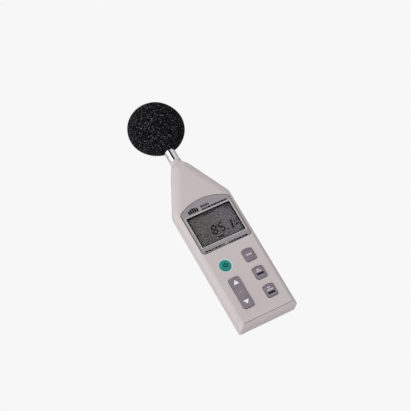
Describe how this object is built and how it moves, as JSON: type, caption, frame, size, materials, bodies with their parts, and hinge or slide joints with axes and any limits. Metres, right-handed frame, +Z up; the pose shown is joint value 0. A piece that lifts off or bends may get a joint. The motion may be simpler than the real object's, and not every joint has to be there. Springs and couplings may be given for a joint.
{
  "type": "sound level meter",
  "caption": "Hand-held sound level meter with a tapered case, arched display, round power key, rocker and push keys, and a foam-covered microphone on a chromed tube.",
  "frame": {"origin": "middle of the foot, under the microphone axis, at the height of the lowest point", "axes": "+Z up from the foot to the microphone along its axis, display faces -Y, +X to the right as seen from the front"},
  "size_m": [0.072, 0.0676, 0.2979],
  "materials": {
    "case": "satin",
    "bezel": "satin",
    "window": "gloss",
    "lcd": "gloss",
    "dark_plastic": "satin",
    "elastomer": "matte",
    "power_green": "satin",
    "key_grey": "satin",
    "silicone": "matte",
    "board": "satin",
    "steel": "satin",
    "trimmer_blue": "satin",
    "trimmer_cream": "satin",
    "chrome_tube": "polished",
    "mic_metal": "satin",
    "wire": "satin",
    "foam": "matte",
    "brass_insert": "satin",
    "cell_gold": "satin",
    "cell_dark": "satin",
    "label": "matte"
  },
  "bodies": {
    "meter": {"front_housing": "case", "rear_housing": "case", "display_bezel": "bezel", "display_window": "window", "lcd_holder": "dark_plastic", "lcd_panel": "lcd", "zebra_strips": "elastomer", "keypad_mat": "silicone", "main_pcb": "board", "pcb_screws": "steel", "processor_chip": "dark_plastic", "shield_can": "steel", "output_jack": "dark_plastic", "dc_jack": "dark_plastic", "trimmer_body": "trimmer_blue", "mic_tube": "chrome_tube", "mic_capsule": "mic_metal", "mic_diaphragm": "mic_metal", "mic_grid": "mic_metal", "preamp_board": "board", "mic_lead": "wire", "tripod_insert": "brass_insert", "case_screws": "steel", "cell_1": "cell_gold", "cell_2": "cell_dark", "cell_3": "cell_gold", "cell_4": "cell_dark", "battery_springs": "steel", "battery_contacts": "steel", "rear_label": "label"},
    "power_key": {"power_button": "power_green"},
    "rocker": {"level_rocker": "key_grey"},
    "upper_key": {"key_upper": "key_grey"},
    "middle_key": {"key_middle": "key_grey"},
    "lower_key": {"key_lower": "key_grey"},
    "door": {"battery_door": "case"},
    "foam_ball": {"windscreen": "foam"},
    "trimmer": {"trimmer_rotor": "trimmer_cream"}
  },
  "joints": [
    {"name": "power_press", "type": "slide", "parent": "meter", "child": "power_key", "axis": [0, 1, 0], "range_m": [0, 0.0008], "stiffness_N_per_m": 900},
    {"name": "upper_press", "type": "slide", "parent": "meter", "child": "upper_key", "axis": [0, 1, 0], "range_m": [0, 0.0008], "stiffness_N_per_m": 900},
    {"name": "middle_press", "type": "slide", "parent": "meter", "child": "middle_key", "axis": [0, 1, 0], "range_m": [0, 0.0008], "stiffness_N_per_m": 900},
    {"name": "lower_press", "type": "slide", "parent": "meter", "child": "lower_key", "axis": [0, 1, 0], "range_m": [0, 0.0008], "stiffness_N_per_m": 900},
    {"name": "level_rock", "type": "hinge", "parent": "meter", "child": "rocker", "pos_m": [-0.0152, -0.0069, 0.0379], "axis": [1, 0, 0], "range_deg": [-2.5, 2.5], "stiffness_Nm_per_rad": 0.3},
    {"name": "door_slide", "type": "slide", "parent": "meter", "child": "door", "axis": [0, 0, -1], "range_m": [0, 0.06]},
    {"name": "windscreen_pull", "type": "slide", "parent": "meter", "child": "foam_ball", "axis": [0, 0, 1], "range_m": [0, 0.06]},
    {"name": "trimmer_turn", "type": "hinge", "parent": "meter", "child": "trimmer", "pos_m": [0.032, 0, 0.128], "axis": [1, 0, 0], "range_deg": [-135, 135]}
  ]
}
